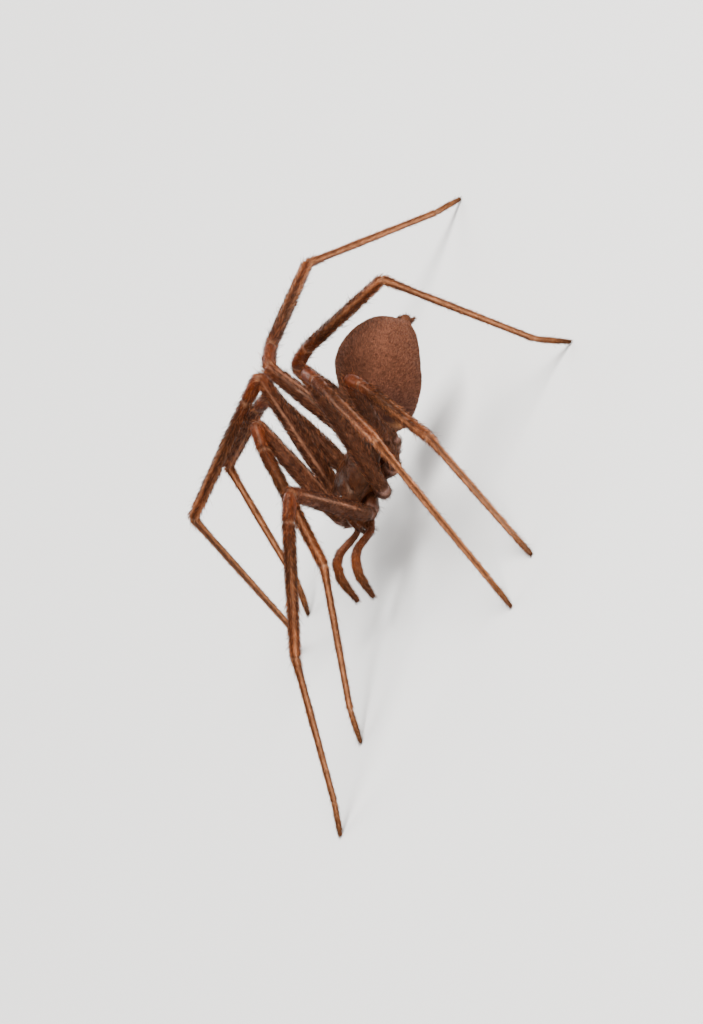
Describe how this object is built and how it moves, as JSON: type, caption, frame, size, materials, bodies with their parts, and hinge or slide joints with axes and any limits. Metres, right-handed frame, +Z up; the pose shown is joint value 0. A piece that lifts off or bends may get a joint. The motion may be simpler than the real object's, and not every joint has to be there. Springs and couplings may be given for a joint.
{
  "type": "loxosceles rufipes spider",
  "caption": "Life-size still model of a long-legged brown spider, standing high with a rounded velvety abdomen and steep bent legs.",
  "frame": {"origin": "middle of the box round the spider, on the floor under it", "axes": "+Z up, the head points to -Y and the spider's left side is +X"},
  "size_m": [0.0214, 0.03, 0.0086],
  "materials": {
    "carapace": "smooth reddish-brown cuticle with a darker marking",
    "leg": "orange-brown cuticle with fine hair",
    "femur": "dark brown cuticle under dense short hair",
    "abdomen": "velvety brown skin under short lying hair",
    "membrane": "pale soft joint skin",
    "eye": "glossy dark eyes"
  },
  "bodies": {
    "root": {"cephalothorax": "carapace", "chelicera_left": "carapace", "chelicera_right": "carapace", "palp_left": "leg", "palp_right": "leg", "eyes_front": "eye", "eyes_left": "eye", "eyes_right": "eye", "pedicel": "membrane", "abdomen": "abdomen", "spinnerets": "abdomen", "leg_left_1_coxa": "femur", "leg_left_1_femur": "femur", "leg_left_1_patella": "leg", "leg_left_1_tibia": "leg", "leg_left_1_metatarsus": "leg", "leg_left_1_tarsus": "leg", "leg_left_2_coxa": "femur", "leg_left_2_femur": "femur", "leg_left_2_patella": "leg", "leg_left_2_tibia": "leg", "leg_left_2_metatarsus": "leg", "leg_left_2_tarsus": "leg", "leg_left_3_coxa": "femur", "leg_left_3_femur": "femur", "leg_left_3_patella": "leg", "leg_left_3_tibia": "leg", "leg_left_3_metatarsus": "leg", "leg_left_3_tarsus": "leg", "leg_left_4_coxa": "femur", "leg_left_4_femur": "femur", "leg_left_4_patella": "leg", "leg_left_4_tibia": "leg", "leg_left_4_metatarsus": "leg", "leg_left_4_tarsus": "leg", "leg_right_1_coxa": "femur", "leg_right_1_femur": "femur", "leg_right_1_patella": "leg", "leg_right_1_tibia": "leg", "leg_right_1_metatarsus": "leg", "leg_right_1_tarsus": "leg", "leg_right_2_coxa": "femur", "leg_right_2_femur": "femur", "leg_right_2_patella": "leg", "leg_right_2_tibia": "leg", "leg_right_2_metatarsus": "leg", "leg_right_2_tarsus": "leg", "leg_right_3_coxa": "femur", "leg_right_3_femur": "femur", "leg_right_3_patella": "leg", "leg_right_3_tibia": "leg", "leg_right_3_metatarsus": "leg", "leg_right_3_tarsus": "leg", "leg_right_4_coxa": "femur", "leg_right_4_femur": "femur", "leg_right_4_patella": "leg", "leg_right_4_tibia": "leg", "leg_right_4_metatarsus": "leg", "leg_right_4_tarsus": "leg"}
  },
  "joints": []
}
